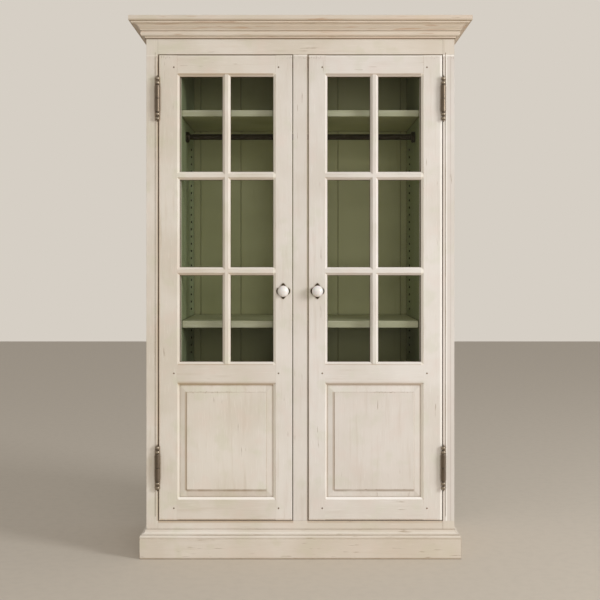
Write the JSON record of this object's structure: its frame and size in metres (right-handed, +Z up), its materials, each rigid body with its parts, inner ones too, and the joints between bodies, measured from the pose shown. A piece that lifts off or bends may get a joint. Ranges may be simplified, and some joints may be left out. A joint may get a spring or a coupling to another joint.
{
  "type": "glazed armoire",
  "caption": "Tall painted cupboard with paired glazed doors over raised panels, moulded cornice and plinth, green shelved interior and a hanging rod.",
  "frame": {"origin": "on the floor, at the middle of the width and of the full depth from the cornice's front to the back", "axes": "+Z up, +X to the right of someone who faces the doors, and the doors face -Y"},
  "size_m": [1.373, 0.654, 2.18],
  "materials": {
    "cream_paint": "distressed cream paint with a brown glaze, satin",
    "sage_paint": "sage green paint, matt",
    "porcelain": "glazed white porcelain",
    "dark_bronze": "dark bronze patina",
    "aged_pewter": "aged, with worn highlights",
    "black_iron": "black, satin",
    "clear_glass": "clear",
    "nickel": "polished"
  },
  "bodies": {
    "carcass": {"cornice_front": "cream_paint", "cornice_left": "cream_paint", "cornice_right": "cream_paint", "plinth_front": "cream_paint", "plinth_left": "cream_paint", "plinth_right": "cream_paint", "frame_stile_left": "cream_paint", "frame_stile_right": "cream_paint", "frame_top_rail": "cream_paint", "frame_bottom_rail": "cream_paint", "frame_mullion": "cream_paint", "outer_side_left": "cream_paint", "outer_side_right": "cream_paint", "top_board": "cream_paint", "bottom_board": "sage_paint", "back_panel": "sage_paint", "liner_left": "sage_paint", "liner_right": "sage_paint", "upper_shelf": "sage_paint", "lower_shelf": "sage_paint", "shelf_pin_left_front": "nickel", "shelf_pin_left_rear": "nickel", "shelf_pin_right_front": "nickel", "shelf_pin_right_rear": "nickel", "hanging_rod": "black_iron", "rod_flange_left": "black_iron", "rod_flange_right": "black_iron", "door_catch": "dark_bronze", "left_upper_hinge_frame_half": "aged_pewter", "left_lower_hinge_frame_half": "aged_pewter", "right_upper_hinge_frame_half": "aged_pewter", "right_lower_hinge_frame_half": "aged_pewter"},
    "left_door": {"left_door_hinge_stile": "cream_paint", "left_door_meeting_stile": "cream_paint", "left_door_top_rail": "cream_paint", "left_door_lock_rail": "cream_paint", "left_door_bottom_rail": "cream_paint", "left_door_vertical_bar": "cream_paint", "left_door_upper_bar": "cream_paint", "left_door_lower_bar": "cream_paint", "left_door_glass": "clear_glass", "left_door_panel": "cream_paint", "left_door_knob": "porcelain", "left_door_backplate": "dark_bronze", "left_upper_hinge_door_half": "aged_pewter", "left_lower_hinge_door_half": "aged_pewter"},
    "right_door": {"right_door_hinge_stile": "cream_paint", "right_door_meeting_stile": "cream_paint", "right_door_top_rail": "cream_paint", "right_door_lock_rail": "cream_paint", "right_door_bottom_rail": "cream_paint", "right_door_vertical_bar": "cream_paint", "right_door_upper_bar": "cream_paint", "right_door_lower_bar": "cream_paint", "right_door_glass": "clear_glass", "right_door_panel": "cream_paint", "right_door_knob": "porcelain", "right_door_backplate": "dark_bronze", "right_upper_hinge_door_half": "aged_pewter", "right_lower_hinge_door_half": "aged_pewter"}
  },
  "joints": [
    {"name": "left_door_hinge", "type": "hinge", "parent": "carcass", "child": "left_door", "pos_m": [-0.577, -0.2718, 1.0915], "axis": [0, 0, -1], "range_deg": [0, 170]},
    {"name": "right_door_hinge", "type": "hinge", "parent": "carcass", "child": "right_door", "pos_m": [0.577, -0.2718, 1.0915], "axis": [0, 0, 1], "range_deg": [0, 170]}
  ]
}
